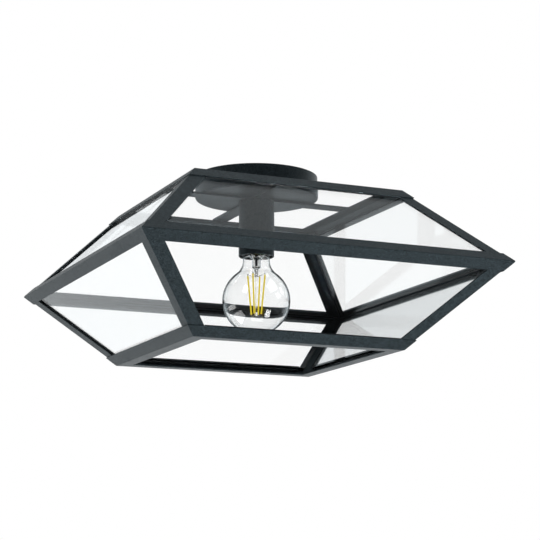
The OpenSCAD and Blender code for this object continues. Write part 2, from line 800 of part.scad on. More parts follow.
ceiling_bracket();
canopy();
canopy_seal();
canopy_screws();
earth_screw();
terminal_block();
terminal_screws();
live_wire();
neutral_wire();
earth_wire();
threaded_nipple();
nipple_nut();
long_strap();
half_strap(LEFT);  // left_strap
half_strap(RIGHT);  // right_strap
sleeve();
lampholder_cap();
lampholder_skirt();
lampholder_collar();
contact_base();
screw_shell();
live_contact();
neutral_contact();
end_rail(ABOVE, FRONT);  // top_rail_front
end_rail(ABOVE, RIGHT);  // top_rail_right
end_rail(ABOVE, BACK);  // top_rail_back
end_rail(ABOVE, LEFT);  // top_rail_left
mid_rail(FRONT);  // mid_rail_front
mid_rail(RIGHT);  // mid_rail_right
mid_rail(BACK);  // mid_rail_back
mid_rail(LEFT);  // mid_rail_left
end_rail(BELOW, FRONT);  // bottom_rail_front
end_rail(BELOW, RIGHT);  // bottom_rail_right
end_rail(BELOW, BACK);  // bottom_rail_back
end_rail(BELOW, LEFT);  // bottom_rail_left
rafter(ABOVE, 0);  // upper_rafter_front_right
rafter(ABOVE, 1);  // upper_rafter_back_right
rafter(ABOVE, 2);  // upper_rafter_back_left
rafter(ABOVE, 3);  // upper_rafter_front_left
rafter(BELOW, 0);  // lower_rafter_front_right
rafter(BELOW, 1);  // lower_rafter_back_right
rafter(BELOW, 2);  // lower_rafter_back_left
rafter(BELOW, 3);  // lower_rafter_front_left
pane(ABOVE, FRONT);  // upper_pane_front
pane(ABOVE, RIGHT);  // upper_pane_right
pane(ABOVE, BACK);  // upper_pane_back
pane(ABOVE, LEFT);  // upper_pane_left
pane(BELOW, FRONT);  // lower_pane_front
pane(BELOW, RIGHT);  // lower_pane_right
pane(BELOW, BACK);  // lower_pane_back
pane(BELOW, LEFT);  // lower_pane_left
glazing_seals();
bulb_envelope();
bulb_cap();
cap_insulator();
centre_contact();
led_driver();
bulb_stem();
filaments();
filament_supports();
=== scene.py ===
import logging
import math
from dataclasses import dataclass, field
from enum import Enum
from typing import Sequence

import bmesh
import bpy
import numpy as np
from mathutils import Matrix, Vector


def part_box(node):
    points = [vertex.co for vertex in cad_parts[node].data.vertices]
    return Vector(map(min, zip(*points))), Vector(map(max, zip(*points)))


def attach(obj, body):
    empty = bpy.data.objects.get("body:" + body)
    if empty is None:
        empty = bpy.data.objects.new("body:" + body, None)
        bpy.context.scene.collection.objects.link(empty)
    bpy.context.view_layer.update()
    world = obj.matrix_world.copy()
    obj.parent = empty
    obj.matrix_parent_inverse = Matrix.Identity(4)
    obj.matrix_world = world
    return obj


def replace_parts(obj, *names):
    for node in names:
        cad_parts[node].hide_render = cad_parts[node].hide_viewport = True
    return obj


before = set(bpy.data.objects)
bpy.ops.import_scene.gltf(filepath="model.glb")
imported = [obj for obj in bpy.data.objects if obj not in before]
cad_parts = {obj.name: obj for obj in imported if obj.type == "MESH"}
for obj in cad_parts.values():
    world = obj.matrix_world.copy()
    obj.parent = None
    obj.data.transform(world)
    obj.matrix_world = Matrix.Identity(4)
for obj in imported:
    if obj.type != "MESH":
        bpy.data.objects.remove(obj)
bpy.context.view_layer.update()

MM = 0.001
PER_M = 1000.0  # millimetres in a metre, for patterns sized in millimetres
MERGE = 1e-7  # points nearer than this, in metres, become one
CREASE = math.radians(38.0)  # edges that turn more stay sharp
HALF_BOUNCE = 0.5  # between no bounce and one
log = logging.getLogger("lantern")

Vec3 = tuple[float, float, float]


class Body(Enum):
    """The bodies of the lantern that pieces ride on."""

    LANTERN = "lantern"
    BULB = "bulb"
    BULB_TIP = "bulb_tip"


# ------------------------------------------------------------------ node trees


class Graph:
    """A node tree in the making, with short calls to add nodes and join them."""

    def __init__(self, tree: bpy.types.NodeTree) -> None:
        """Empties the tree of a material, world or group and keeps it."""
        self.tree = tree
        tree.nodes.clear()

    def add(self, kind: str, inputs: dict | None = None, **settings) -> bpy.types.Node:
        """Adds one node.

        Args:
            kind: the node's type name after ShaderNode, such as TexNoise.
            inputs: sockets by name or number, each with a value or a socket that feeds it.
            settings: the node's own properties.

        Returns:
            The new node.
        """
        node = self.tree.nodes.new("ShaderNode" + kind)
        for name, value in settings.items():
            setattr(node, name, value)
        for name, value in (inputs or {}).items():
            self.feed(node, name, value)
        return node

    def feed(self, node: bpy.types.Node, name: str | int, value) -> None:
        """Sets a node's input to a value, or joins it to the socket or node that feeds it."""
        if isinstance(value, bpy.types.Node):
            value = value.outputs[0]
        if isinstance(value, bpy.types.NodeSocket):
            self.tree.links.new(value, node.inputs[name])
        else:
            node.inputs[name].default_value = value

    def place(self) -> bpy.types.NodeSocket:
        """The point's place in the object's own coordinates, in metres."""
        return self.add("TexCoord").outputs["Object"]

    def maths(self, operation: str, *values, clamp: bool = False) -> bpy.types.NodeSocket:
        """One Math node of the given operation on numbers or sockets, and its output."""
        node = self.add("Math", dict(enumerate(values)), operation=operation, use_clamp=clamp)
        return node.outputs[0]

    def blend(self, share, a, b) -> bpy.types.NodeSocket:
        """A colour between a and b by share, as a socket of the Mix node's colour part."""
        return self.add("Mix", {0: share, 6: a, 7: b}, data_type="RGBA").outputs[2]

    def remap(self, value, low: float, high: float, to_low: float, to_high: float,
              smooth: bool = False) -> bpy.types.NodeSocket:
        """value carried from the range low..high to to_low..to_high, held at the ends."""
        return self.add("MapRange", {"Value": value, "From Min": low, "From Max": high,
                                     "To Min": to_low, "To Max": to_high},
                        interpolation_type="SMOOTHSTEP" if smooth else "LINEAR").outputs["Result"]

    def above(self, depth: bpy.types.NodeSocket) -> bpy.types.NodeSocket:
        """1 where a Light Path depth counts one bounce or more, else 0."""
        return self.maths("GREATER_THAN", depth, HALF_BOUNCE)


def rgba(colour: Sequence[float]) -> tuple[float, float, float, float]:
    """A colour with full alpha."""
    return (colour[0], colour[1], colour[2], 1.0)


WHITE = rgba((1.0, 1.0, 1.0))


def new_material(name: str) -> tuple[bpy.types.Material, Graph]:
    """A new material and the Graph of its node tree, still empty."""
    made = bpy.data.materials.new(name)
    made.use_nodes = True
    return made, Graph(made.node_tree)


def in_scene(name: str, data: bpy.types.ID) -> bpy.types.Object:
    """A new object that shows the data, linked to the scene."""
    made = bpy.data.objects.new(name, data)
    bpy.context.scene.collection.objects.link(made)
    return made


def new_group(name: str, inputs: dict[str, float], outputs: dict[str, str]) -> tuple:
    """An empty shader node group with its sockets.

    Args:
        name: the group's name.
        inputs: number inputs and their defaults.
        outputs: outputs and their socket types.

    Returns:
        The group tree, its Graph, its input node and its output node.
    """
    tree = bpy.data.node_groups.new(name, "ShaderNodeTree")
    for socket, value in inputs.items():
        made = tree.interface.new_socket(socket, in_out="INPUT", socket_type="NodeSocketFloat")
        made.default_value = value
    for socket, kind in outputs.items():
        tree.interface.new_socket(socket, in_out="OUTPUT", socket_type=kind)
    graph = Graph(tree)
    return tree, graph, tree.nodes.new("NodeGroupInput"), tree.nodes.new("NodeGroupOutput")


def grain_group() -> bpy.types.NodeTree:
    """Fine sandy grain: two noises, one grain wide and one four grains wide, added up."""
    tree, g, given, out = new_group(
        "fine_grain", {"Grain Size": 0.5, "Coarse Share": 0.4},
        {"Height": "NodeSocketFloat", "Painted Glint Mask": "NodeSocketFloat"})
    place = g.place()
    scale = g.maths("DIVIDE", PER_M, given.outputs["Grain Size"])
    fine = g.add("TexNoise", {"Vector": place, "Scale": scale, "Detail": 1.0})
    wide = g.add("TexNoise", {"Vector": place, "Scale": g.maths("DIVIDE", scale, 4.0),
                                        "Detail": 2.0})
    coarse = g.maths("MULTIPLY", wide.outputs[0], given.outputs["Coarse Share"])
    height = g.maths("ADD", fine.outputs[0], coarse)
    g.feed(out, "Height", height)
    # peaks of the fine noise: the mask for painted glints
    g.feed(out, "Painted Glint Mask", g.remap(fine, 0.56, 0.74, 0.0, 1.0))
    return tree


def streak_group() -> bpy.types.NodeTree:
    """Drawn or turned streaks: noise stretched by a share along each axis."""
    tree, g, given, out = new_group(
        "tool_streaks", {"Stretch X": 40.0, "Stretch Y": 40.0, "Stretch Z": 4000.0},
        {"Streak": "NodeSocketFloat"})
    place = g.place()
    apart = g.add("SeparateXYZ", {0: place})
    pulled = [g.maths("MULTIPLY", apart.outputs[i], given.outputs[i]) for i in range(3)]
    joined = g.add("CombineXYZ", dict(enumerate(pulled)))
    noise = g.add("TexNoise", {"Vector": joined.outputs[0], "Scale": 1.0, "Detail": 3.0})
    g.feed(out, "Streak", noise)
    return tree


def smudge_group() -> bpy.types.NodeTree:
    """Wide soft patches where a surface was handled: one warped noise, cut to its peaks."""
    tree, g, given, out = new_group(
        "handling_smudge", {"Patch Size": 30.0, "Cover": 0.5}, {"Patch": "NodeSocketFloat"})
    place = g.place()
    scale = g.maths("DIVIDE", PER_M, given.outputs["Patch Size"])
    noise = g.add("TexNoise", {"Vector": place, "Scale": scale, "Detail": 4.0,
                                         "Distortion": 0.6})
    start = g.maths("SUBTRACT", 0.75, g.maths("MULTIPLY", given.outputs["Cover"], 0.4))
    patch = g.maths("MULTIPLY", g.maths("SUBTRACT", noise.outputs[0], start), 5.0, clamp=True)
    g.feed(out, "Patch", patch)
    return tree


# -------------------------------------------------------------------- finishes


@dataclass(frozen=True)
class Finish:
    """A surface finish: one material, built once and named after its slot."""

    slot: str
    colour: Vec3

    def material(self) -> bpy.types.Material:
        """The finish's material, built at the first call."""
        name = f"finish_{self.slot}"
        made = bpy.data.materials.get(name)
        if made is None:
            made, graph = new_material(name)
            shader = graph.add("BsdfPrincipled")
            graph.add("OutputMaterial", {"Surface": shader})
            self.wire(graph, shader)
        return made

    def wire(self, g: Graph, shader: bpy.types.Node) -> None:
        """Sets the shader's sockets; each kind of finish has its own."""
        raise NotImplementedError

    @staticmethod
    def group(g: Graph, name: str, **inputs) -> bpy.types.Node:
        """Places a shared node group with the given inputs, whose names have _ for a space."""
        node = g.add("Group", node_tree=bpy.data.node_groups[name])
        for key, value in inputs.items():
            node.inputs[key.replace("_", " ").title()].default_value = value
        return node

    @staticmethod
    def bump(g: Graph, shader: bpy.types.Node, height, distance: float) -> None:
        """Raises the surface by height times distance, in metres, through a Bump node."""
        g.feed(shader, "Normal", g.add("Bump", {"Height": height, "Distance": distance}))


@dataclass(frozen=True)
class PowderCoat(Finish):
    """Baked textured powder: sandy grain, a faint mottle and a few specks painted brighter as
    glints.
    """

    roughness: float = 0.42
    grain: float = 1.0
    depth: float = 0.0002
    sheen_tint: Vec3 = (0.73, 0.915, 1.0)

    def wire(self, g: Graph, shader: bpy.types.Node) -> None:
        """Grain drives bump and colour, smudges roughness; specks are painted glints."""
        g.feed(shader, "Specular Tint", rgba(self.sheen_tint))
        grain = self.group(g, "fine_grain", grain_size=self.grain, coarse_share=0.4)
        smudge = self.group(g, "handling_smudge", patch_size=60.0, cover=0.6)
        dark = [c * 0.25 for c in self.colour]
        light = [c * 1.75 for c in self.colour]
        spread = g.remap(grain.outputs["Height"], 0.45, 0.95, 0.0, 1.0)
        mottle = g.blend(spread, rgba(dark), rgba(light))
        # painted glints: peaks of the fine grain painted brighter, as grains that catch light
        painted_glint = g.maths("MULTIPLY", grain.outputs["Painted Glint Mask"], 0.35)
        colour = g.blend(painted_glint, mottle, rgba([c * 2.8 for c in self.colour]))
        g.feed(shader, "Base Color", colour)
        rough = g.remap(smudge, 0.0, 1.0, self.roughness, self.roughness + 0.07)
        g.feed(shader, "Roughness", rough)
        self.bump(g, shader, grain.outputs["Height"], self.depth)


@dataclass(frozen=True)
class ClearGlass(Finish):
    """Clear glass: plain transmission with a faint wave of the surface and a faint film."""

    ior: float = 1.5
    wave: float = 0.000001
    wave_size: float = 60.0
    film: float = 0.006
    # rim: share of painted shade, a dark diffuse mixed in at the glass's rim; its colour below
    rim: float = 0.0
    painted_rim_shade_colour: Vec3 = (0.02, 0.026, 0.034)

    def wire(self, g: Graph, shader: bpy.types.Node) -> None:
        """Plain Metallic and Transmission Weight; a wide wave and a faint film of handling.

        Painted shade: a dark diffuse is mixed in at the rim, where the sight runs along the wall.
        """
        g.feed(shader, "Transmission Weight", 1.0)
        g.feed(shader, "Roughness", 0.0)
        g.feed(shader, "IOR", self.ior)
        smudge = self.group(g, "handling_smudge", patch_size=45.0, cover=0.35)
        filmed = [c * (1 - self.film) for c in self.colour]
        colour = g.blend(smudge.outputs[0], rgba(self.colour), rgba(filmed))
        g.feed(shader, "Base Color", colour)
        # painted shade: a dark diffuse shader mixed in where the glass is seen edge-on
        if self.rim > 0.0:
            edge = g.add("LayerWeight", {"Blend": 0.5}).outputs["Facing"]
            share = g.remap(edge, 0.70, 0.78, 0.0, self.rim, smooth=True)
            painted_rim_shade = g.add("BsdfDiffuse", {"Color": rgba(self.painted_rim_shade_colour)})
            mixed = g.add("MixShader", {0: share, 1: shader, 2: painted_rim_shade})
            g.feed(g.tree.nodes["Material Output"], "Surface", mixed)
        place = g.place()
        wave = g.add("TexNoise", {"Vector": place, "Scale": PER_M / self.wave_size,
                                            "Detail": 0.0})
        self.bump(g, shader, wave.outputs[0], self.wave * self.wave_size)


@dataclass(frozen=True)
class Moulded(Finish):
    """Plastic, rubber, ceramic or glass paste from a mould: grain, mottle and soft patches."""

    roughness: float = 0.4
    grain: float = 0.4
    depth: float = 0.00002
    mottle: float = 0.06
    patch: float = 0.08

    def wire(self, g: Graph, shader: bpy.types.Node) -> None:
        """Grain drives bump and mottle; handled patches are a little rougher."""
        grain = self.group(g, "fine_grain", grain_size=self.grain, coarse_share=0.7)
        smudge = self.group(g, "handling_smudge", patch_size=14.0, cover=0.5)
        low = [c * (1 - self.mottle) for c in self.colour]
        high = [min(c * (1 + self.mottle), 1.0) for c in self.colour]
        colour = g.blend(grain.outputs["Height"], rgba(low), rgba(high))
        g.feed(shader, "Base Color", colour)
        rough = g.remap(smudge, 0.0, 1.0, self.roughness, self.roughness + self.patch)
        g.feed(shader, "Roughness", rough)
        self.bump(g, shader, grain.outputs["Height"], self.depth)


@dataclass(frozen=True)
class Metal(Finish):
    """Bare or plated metal with drawn or turned streaks and dull handled patches."""

    roughness: float = 0.3
    stretch: Vec3 = (60.0, 60.0, 3000.0)
    dull: float = 0.12
    depth: float = 0.000006

    def wire(self, g: Graph, shader: bpy.types.Node) -> None:
        """Streaks drive bump, colour and roughness; handled patches are duller and darker."""
        g.feed(shader, "Metallic", 1.0)
        x, y, z = self.stretch
        streak = self.group(g, "tool_streaks", stretch_x=x, stretch_y=y, stretch_z=z)
        smudge = self.group(g, "handling_smudge", patch_size=12.0, cover=0.55)
        low = [c * 0.86 for c in self.colour]
        high = [min(c * 1.08, 1.0) for c in self.colour]
        bare = g.blend(streak.outputs[0], rgba(low), rgba(high))
        share = g.maths("MULTIPLY", smudge.outputs[0], 0.5)
        worn = g.blend(share, bare, rgba([c * 0.72 for c in self.colour]))
        g.feed(shader, "Base Color", worn)
        base = g.remap(streak.outputs[0], 0.3, 0.7, self.roughness - 0.05, self.roughness + 0.05)
        patch = g.maths("MULTIPLY", smudge.outputs[0], self.dull)
        g.feed(shader, "Roughness", g.maths("ADD", base, patch))
        self.bump(g, shader, streak.outputs[0], self.depth)


@dataclass(frozen=True)
class Spangle(Metal):
    """Zinc-plated steel: streaks under a patchwork of faint crystals."""

    crystal: float = 6.0

    def wire(self, g: Graph, shader: bpy.types.Node) -> None:
        """A cell pattern shifts the metal's colour crystal by crystal."""
        super().wire(g, shader)
        place = g.place()
        cells = g.add("TexVoronoi", {"Vector": place, "Scale": PER_M / self.crystal})
        apart = g.add("SeparateColor", {0: cells.outputs["Color"]})
        tint = g.remap(apart.outputs[0], 0.0, 1.0, 0.86, 1.06)
        g.feed(shader, "Base Color", g.blend(tint, rgba((0.0, 0.0, 0.0)), rgba(self.colour)))


@dataclass(frozen=True)
class TwoColourWire(Finish):
    """Earth wire insulation: green along one side of the wire and yellow along the other."""

    second: Vec3 = (0.75, 0.60, 0.02)
    roughness: float = 0.38

    def wire(self, g: Graph, shader: bpy.types.Node) -> None:
        """The side is told by the surface's own direction, which doesn't move with the view."""
        facing = g.add("TexCoord").outputs["Normal"]
        apart = g.add("SeparateXYZ", {0: facing})
        side = g.maths("GREATER_THAN", g.maths("ADD", apart.outputs[2], apart.outputs[1]), 0.25)
        g.feed(shader, "Base Color", g.blend(side, rgba(self.second), rgba(self.colour)))
        grain = self.group(g, "fine_grain", grain_size=0.3, coarse_share=0.8)
        rough = g.remap(grain.outputs["Height"], 0.0, 1.0, self.roughness, self.roughness + 0.1)
        g.feed(shader, "Roughness", rough)
        self.bump(g, shader, grain.outputs["Height"], 0.00001)


@dataclass(frozen=True)
class PhosphorCoat(Finish):
    """Yellow silicone over a row of tiny chips: brighter at each chip, deeper between."""

    chip_pitch: float = 1.1
    roughness: float = 0.35
    # painted glow: emission strength on the unlit filaments
    glow: float = 0.9

    def wire(self, g: Graph, shader: bpy.types.Node) -> None:
        """A wave along Z gives the chips; a weak painted glow stands for light scattered inside.
        """
        place = g.place()
        apart = g.add("SeparateXYZ", {0: place})
        turns = g.maths("MULTIPLY", apart.outputs[2], 2 * math.pi * PER_M / self.chip_pitch)
        wave = g.remap(g.maths("SINE", turns), -1.0, 1.0, 0.0, 1.0, smooth=True)
        grain = self.group(g, "fine_grain", grain_size=0.25, coarse_share=0.5)
        deep = [self.colour[0] * 0.86, self.colour[1] * 0.78, self.colour[2] * 0.6]
        colour = g.blend(wave, rgba(deep), rgba(self.colour))
        g.feed(shader, "Base Color", colour)
        # painted glow: the filament emits its own colour though it is unlit
        g.feed(shader, "Emission Color", colour)
        g.feed(shader, "Emission Strength", self.glow)
        rough = g.remap(grain.outputs["Height"], 0.0, 1.0, self.roughness, self.roughness + 0.1)
        g.feed(shader, "Roughness", rough)
        self.bump(g, shader, grain.outputs["Height"], 0.00002)


@dataclass(frozen=True)
class BoardLacquer(Finish):
    """Printed board: green lacquer over copper tracks, with bare tinned pads."""

    track_pitch: float = 2.5
    tin: Vec3 = (0.62, 0.62, 0.60)

    def wire(self, g: Graph, shader: bpy.types.Node) -> None:
        """Tracks lighten the lacquer; the pads are the middles of small cells."""
        place = g.place()
        brick = g.add("TexVoronoi", {"Vector": place, "Scale": PER_M / self.track_pitch},
                      distance="CHEBYCHEV")
        track = g.remap(brick.outputs["Distance"], 0.30, 0.34, 0.0, 1.0)
        pad = g.remap(brick.outputs["Distance"], 0.12, 0.14, 1.0, 0.0)
        lacquer = g.blend(track, rgba([c * 1.7 for c in self.colour]), rgba(self.colour))
        g.feed(shader, "Base Color", g.blend(pad, lacquer, rgba(self.tin)))
        g.feed(shader, "Roughness", g.remap(pad, 0.0, 1.0, 0.32, 0.25))
        g.feed(shader, "Metallic", g.maths("MULTIPLY", pad, 0.9))
        self.bump(g, shader, track, 0.00003)


def finishes() -> dict[str, Finish]:
    """Every finish of the lantern by its slot."""
    made = [
        PowderCoat("powder_coat", (0.0275, 0.0365, 0.0413)),
        Spangle("zinc_steel", (0.62, 0.64, 0.66), roughness=0.36, stretch=(900.0, 30.0, 900.0)),
        Moulded("rubber_seal", (0.020, 0.020, 0.022), roughness=0.7, grain=0.8, depth=0.00005),
        Metal("brass", (0.72, 0.52, 0.22), roughness=0.28, stretch=(60.0, 60.0, 2500.0)),
        Moulded("terminal_plastic", (0.75, 0.74, 0.70), roughness=0.42, grain=0.5),
        Moulded("brown_insulation", (0.16, 0.06, 0.025), roughness=0.36, grain=0.3),
        Moulded("blue_insulation", (0.03, 0.12, 0.45), roughness=0.36, grain=0.3),
        TwoColourWire("earth_insulation", (0.04, 0.30, 0.05)),
        Moulded("black_thermoset", (0.012, 0.012, 0.013), roughness=0.16, grain=0.9,
                depth=0.00001, patch=0.12),
        Moulded("porcelain", (0.78, 0.76, 0.70), roughness=0.55, grain=0.6, depth=0.00004),
        Metal("brass_shell", (0.70, 0.52, 0.24), roughness=0.26, stretch=(40.0, 40.0, 1500.0)),
        ClearGlass("pane_glass", (0.996, 1.0, 0.999)),
        Moulded("sealant", (0.030, 0.036, 0.040), roughness=0.45, grain=1.5, depth=0.00001),
        # rim=0.75: the globe's rim gets the painted dark shade
        ClearGlass("bulb_glass", (0.998, 1.0, 1.0), ior=1.48, wave=0.0000002, wave_size=25.0,
                   rim=0.75),
        Metal("nickel_plate", (0.66, 0.64, 0.60), roughness=0.2, stretch=(30.0, 30.0, 2000.0)),
        Moulded("black_glass", (0.010, 0.010, 0.012), roughness=0.1, grain=0.8, depth=0.00001),
        Metal("solder", (0.55, 0.55, 0.56), roughness=0.34, stretch=(500.0, 500.0, 500.0),
              depth=0.00008),
        BoardLacquer("circuit_board", (0.03, 0.20, 0.08)),
        ClearGlass("stem_glass", (0.99, 1.0, 0.995), wave=0.00001, wave_size=8.0),
        PhosphorCoat("phosphor", (0.84, 0.68, 0.04)),
        Metal("support_wire", (0.40, 0.38, 0.36), roughness=0.3, stretch=(800.0, 800.0, 40.0)),
    ]
    return {finish.slot: finish for finish in made}


# -------------------------------------------------------------- surface meshes


@dataclass
class Surface:
    """A mesh in the making: point rows in arrays, added up and then made one object."""

    points: list[np.ndarray] = field(default_factory=list)
    faces: list[np.ndarray] = field(default_factory=list)
    count: int = 0

    def grid(self, rows: np.ndarray, closed_rows: bool = False) -> None:
        """Adds a surface over a grid of points, of shape (rows, columns, 3), in metres.

        Neighbours are joined, and the last column with the first. With closed_rows the
        last row is joined with the first too. A row whose points are all alike is a pole.
        """
        m, n = rows.shape[:2]
        index = np.arange(m * n).reshape(m, n) + self.count
        right = np.roll(index, -1, axis=1)
        if closed_rows:
            above, above_right = np.roll(index, -1, axis=0), np.roll(right, -1, axis=0)
            quads = np.stack([index, right, above_right, above], axis=-1)
        else:
            quads = np.stack([index[:-1], right[:-1], right[1:], index[1:]], axis=-1)
        self.points.append(rows.reshape(-1, 3))
        self.faces.append(quads.reshape(-1, 4))
        self.count += m * n

    def piece(self, name: str, slot: str, body: Body) -> bpy.types.Object:
        """Makes the object, at the origin, with the slot's finish and riding on the body.

        Poles are merged and faces point outwards.
        """
        mesh = bpy.data.meshes.new(name)
        mesh.from_pydata(np.concatenate(self.points).tolist(), [],
                         np.concatenate(self.faces).tolist())
        work = bmesh.new()
        work.from_mesh(mesh)
        bmesh.ops.remove_doubles(work, verts=work.verts, dist=MERGE)
        bmesh.ops.recalc_face_normals(work, faces=work.faces)
        work.to_mesh(mesh)
        work.free()
        mesh.polygons.foreach_set("use_smooth", np.ones(len(mesh.polygons), dtype=bool))
        mesh.set_sharp_from_angle(angle=CREASE)
        mesh.materials.append(FINISHES[slot].material())
        made = in_scene(name, mesh)
        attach(made, body.value)
        log.info("%s: %d faces, rides on %s", name, len(mesh.polygons), body.value)
        return made


def turned(profile: np.ndarray, sides: int) -> np.ndarray:
    """A surface of revolution: each profile point (r, z) goes round the Z axis.

    Args:
        profile: points (r, z) in metres, of shape (rows, 2).
        sides: points round the axis.

    Returns:
        Grid points of shape (rows, sides, 3).
    """
    angle = np.linspace(0.0, 2 * np.pi, sides, endpoint=False)
    x, y = profile[:, :1] * np.cos(angle), profile[:, :1] * np.sin(angle)
    return np.stack([x, y, np.repeat(profile[:, 1:], sides, axis=1)], axis=-1)


def smooth_line(knots: Sequence[Sequence[float]], steps: int) -> np.ndarray:
    """A smooth curve through the knots, by Catmull and Rom's rule between each two.

    Each stretch between two knots has as many points as there are steps.
    """
    k = np.asarray(knots, dtype=float)
    k = np.concatenate([[2 * k[0] - k[1]], k, [2 * k[-1] - k[-2]]])
    t = np.linspace(0.0, 1.0, steps, endpoint=False)[None, :, None]
    a, b, c, d = (k[i:len(k) - 3 + i, None, :] for i in range(4))
    curve = 0.5 * (2 * b + (c - a) * t + (2 * a - 5 * b + 4 * c - d) * t ** 2
                   + (3 * b - a - 3 * c + d) * t ** 3)
    return np.concatenate([curve.reshape(-1, k.shape[1]), k[-2:-1]])


def tube(path: np.ndarray, radius: np.ndarray | float, sides: int,
         flat: float = 1.0) -> np.ndarray:
    """A round or flattened bar along a path, closed at both ends.

    Each ring stands square to the path: centre + radius (cos a side + flat sin a lift).

    Args:
        path: centre points in metres.
        radius: one radius or one for each point.
        sides: points round each ring.
        flat: the ring's height as a share of its width.

    Returns:
        Grid points with a pole row at each end.
    """
    ahead = np.gradient(path, axis=0)
    ahead /= np.linalg.norm(ahead, axis=1, keepdims=True)
    guide = np.where(np.abs(ahead[:, 2:]) > 0.9, [[1.0, 0.0, 0.0]], [[0.0, 0.0, 1.0]])
    side = np.cross(ahead, guide)
    side /= np.linalg.norm(side, axis=1, keepdims=True)
    lift = np.cross(side, ahead)
    angle = np.linspace(0.0, 2 * np.pi, sides, endpoint=False)[None, :, None]
    r = np.broadcast_to(np.asarray(radius, dtype=float), len(path))[:, None, None]
    rings = path[:, None] + r * (np.cos(angle) * side[:, None]
                                 + flat * np.sin(angle) * lift[:, None])
    ends = [np.repeat(path[i][None, None], sides, axis=1) for i in (0, -1)]
    return np.concatenate([ends[0], rings, ends[1]])


def dressed(looks: dict[str, Sequence[str]]) -> None:
    """Gives CAD nodes their finishes: the nodes' names by the finish's slot."""
    for slot, nodes in looks.items():
        for name in nodes:
            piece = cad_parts[name]
            piece.data.materials.clear()
            piece.data.materials.append(FINISHES[slot].material())
            log.info("%s: finish %s", name, slot)


# ---------------------------------------------------------------- the lantern


@dataclass
class Cage:
    """The folded frame, its panes and the sealant behind the flanges."""

    sides: tuple[str, ...] = ("front", "right", "back", "left")
    corners: tuple[str, ...] = ("front_right", "back_right", "back_left", "front_left")

    def dress(self) -> None:
        """Powder coat on every strip, glass in the panes and dark sealant behind them."""
        rails = [f"{ring}_rail_{side}" for ring in ("top", "mid", "bottom")
                 for side in self.sides]
        rafters = [f"{part}_rafter_{corner}" for part in ("upper", "lower")
                   for corner in self.corners]
        panes = [f"{part}_pane_{side}" for part in ("upper", "lower") for side in self.sides]
        dressed({"powder_coat": rails + rafters, "pane_glass": panes,
                 "sealant": ["glazing_seals"]})


@dataclass
class ScrewShape:
    """A raised-head screw with a cross recess, turned about Z with its head up.

    Sizes are in metres: the head's radius and height, the shank's radius and length,
    the recess's arm length, half width and depth, and the thread's pitch and depth.
    """

    head_r: float = 3.5 * MM
    head_h: float = 2.6 * MM
    shank_r: float = 1.96 * MM
    shank_l: float = 10.0 * MM
    arm_l: float = 2.1 * MM
    arm_w: float = 0.42 * MM
    recess: float = 1.5 * MM
    arms: int = 4
    pitch: float = 0.7 * MM
    thread: float = 0.35 * MM
    plain_l: float = 0.6 * MM

    def rows(self, columns: int = 96, rings: int = 30) -> np.ndarray:
        """The whole screw as one grid, from the tip up the shank and over the head.

        The head's height over the radius r is a dome, h = H (0.2 + 0.8 (1 - (r / R)^2)),
        and it is cut down by the recess where the point lies within the half width of one
        of the arms. The shank's radius waves along Z, and its wave turns with the angle,
        which makes a thread. There is a pole row at each end, and the head's underside
        is at z = 0. Columns go round the axis and rings over the head.
        """
        angle = np.linspace(0.0, 2 * np.pi, columns, endpoint=False)
        steps = int(self.shank_l / self.pitch * 10)
        z = np.linspace(-self.shank_l, 0.0, steps)[:, None]
        wave = 0.5 - 0.5 * np.cos(2 * np.pi * z / self.pitch - angle[None, :])
        faded = np.clip((-z - self.plain_l) / self.pitch, 0, 1)
        tip = np.clip((z + self.shank_l) / (2 * self.pitch), 0, 1)
        r = (self.shank_r - self.thread * wave * faded) * (0.7 + 0.3 * tip)
        shank = np.stack([r * np.cos(angle), r * np.sin(angle),
                          np.broadcast_to(z, r.shape)], axis=-1)
        rim = np.array([[self.head_r - 0.0002, 0.0], [self.head_r, 0.0002],
                        [self.head_r, 0.2 * self.head_h]])
        side = turned(rim, columns)
        radius = np.linspace(1.0, 0.0, rings)[1:, None] * self.head_r
        x, y = radius * np.cos(angle), radius * np.sin(angle)
        height = self.head_h * (0.2 + 0.8 * (1 - (radius / self.head_r) ** 2))
        across = np.full(x.shape, np.inf)
        for turn in np.pi * np.arange(self.arms // 2) / max(self.arms // 2, 1):
            along = x * np.cos(turn) + y * np.sin(turn)
            off = np.abs(-x * np.sin(turn) + y * np.cos(turn))
            reach = np.clip((np.abs(along) - self.arm_l) / self.arm_w, 0, 4)
            across = np.minimum(across, off + reach * self.arm_w)
        cut = np.clip((self.arm_w - across) / (0.35 * self.arm_w) + 1, 0, 1)
        bowl = 1 - 0.45 * np.clip(radius / self.arm_l, 0, 1) ** 2
        top = np.stack([x, y, np.broadcast_to(height, x.shape) - cut * self.recess * bowl],
                       axis=-1)
        start = np.repeat([[[0.0, 0.0, -self.shank_l]]], columns, axis=1)
        return np.concatenate([start, shank, side, top])

    def placed(self, at: Vec3, up: Vec3) -> np.ndarray:
        """The screw's grid in the lantern's frame, its head's underside at the point at.

        The head faces the direction up.
        """
        w = np.asarray(up, dtype=float)
        u = np.cross([1.0, 0.0, 0.0], w)
        if np.linalg.norm(u) < 0.1:
            u = np.cross([0.0, 1.0, 0.0], w)
        u /= np.linalg.norm(u)
        return self.rows() @ np.stack([u, np.cross(w, u), w]) + np.asarray(at)


